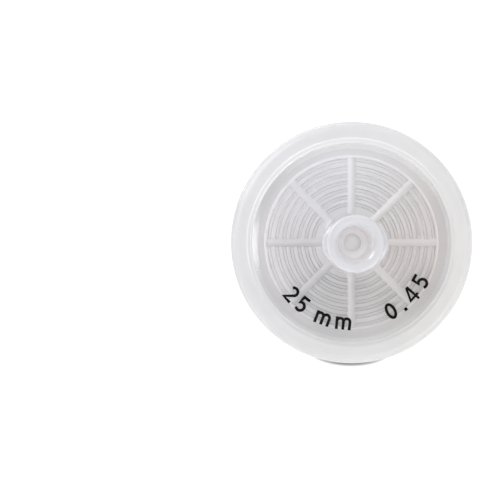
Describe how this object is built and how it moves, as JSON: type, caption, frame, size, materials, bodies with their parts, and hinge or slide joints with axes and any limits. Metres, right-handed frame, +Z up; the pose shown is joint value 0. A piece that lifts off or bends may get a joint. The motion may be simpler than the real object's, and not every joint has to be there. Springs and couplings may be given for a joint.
{
  "type": "syringe filter",
  "caption": "Disposable lab syringe filter: a flat round translucent housing with a female luer lock inlet, a male luer slip outlet and a white membrane clamped inside.",
  "frame": {"origin": "on the surface the filter lies on, under the middle of its bounding box", "axes": "+X to the right across the disc, through the two luer lock lugs; +Z up; the inlet face looks towards -Y and up, with the flow axis 41.8 degrees above the surface"},
  "size_m": [0.03, 0.0238, 0.0238],
  "materials": {
    "inlet_housing": "natural translucent polypropylene, satin-gloss moulded face",
    "outlet_housing": "natural translucent polypropylene, satin-gloss moulded face",
    "membrane": "opaque white porous membrane, matt",
    "ring": "milky translucent polypropylene overmoulding",
    "print": "black pad-printed ink, no solid of its own"
  },
  "bodies": {
    "root": {"inlet_housing": "inlet_housing", "outlet_housing": "outlet_housing", "filter_membrane": "membrane", "overmould_ring": "ring"}
  },
  "joints": []
}
